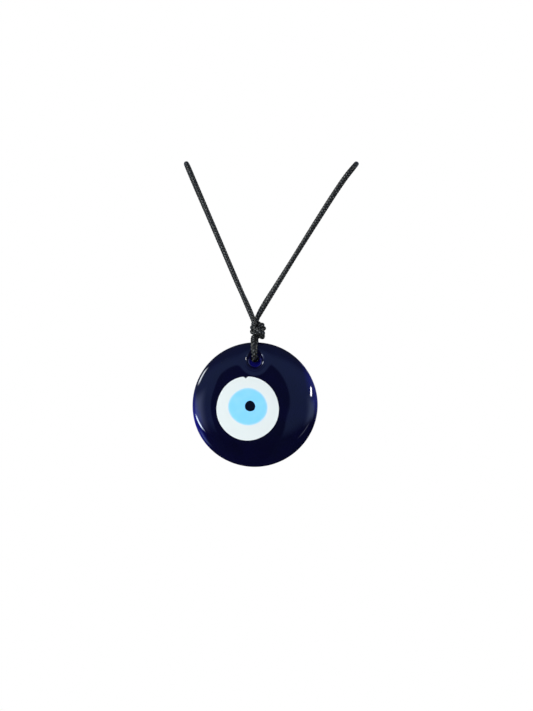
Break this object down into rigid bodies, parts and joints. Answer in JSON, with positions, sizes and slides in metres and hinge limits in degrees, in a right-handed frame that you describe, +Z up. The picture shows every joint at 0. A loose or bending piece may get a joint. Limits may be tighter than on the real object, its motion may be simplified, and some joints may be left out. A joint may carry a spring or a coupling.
{
  "type": "evil eye pendant on a cord",
  "caption": "Domed cobalt glass eye amulet with white, light blue and black fused dabs, hung through its rim hole on a knotted black braided cord.",
  "frame": {"origin": "halfway between the two places where the cord rests over a neck or a display edge, on the line through the centres of the cord's two turns", "axes": "+Z up as it hangs, +X to the right as seen from the front, the eye looks towards -Y"},
  "size_m": [0.0704, 0.0216, 0.1226],
  "materials": {
    "cobalt_glass": "fire-polished gloss, dense cobalt blue, nearly black in the middle and blue at the rim",
    "white_glass": "opaque opal white, gloss",
    "light_blue_glass": "opaque light blue, gloss, soft edge",
    "black_glass": "opaque black, gloss",
    "waxed_cord": "black braided polyester with a waxy sheen",
    "tie_thread": "black waxed thread"
  },
  "bodies": {
    "root": {"main_knot": "waxed_cord", "cord_left": "waxed_cord", "cord_right": "waxed_cord", "cord_coil": "waxed_cord", "coil_tie": "tie_thread", "cord_left_drop": "waxed_cord", "cord_right_drop": "waxed_cord", "closing_knot": "waxed_cord", "cord_left_end": "waxed_cord", "cord_right_end": "waxed_cord"},
    "bail": {"bail_loop": "waxed_cord"},
    "pendant": {"cobalt_glass_disc": "cobalt_glass", "white_glass_ring": "white_glass", "light_blue_glass_iris": "light_blue_glass", "black_glass_pupil": "black_glass"}
  },
  "joints": [
    {"name": "bail_tilt", "type": "hinge", "parent": "root", "child": "bail", "pos_m": [-0.0061, -0.007, -0.0636], "axis": [-1, 0, 0], "range_deg": [0, 25]},
    {"name": "pendant_swing", "type": "hinge", "parent": "bail", "child": "pendant", "pos_m": [-0.0061, -0.007, -0.07072], "axis": [0, 1, 0], "range_deg": [-20, 20]}
  ]
}
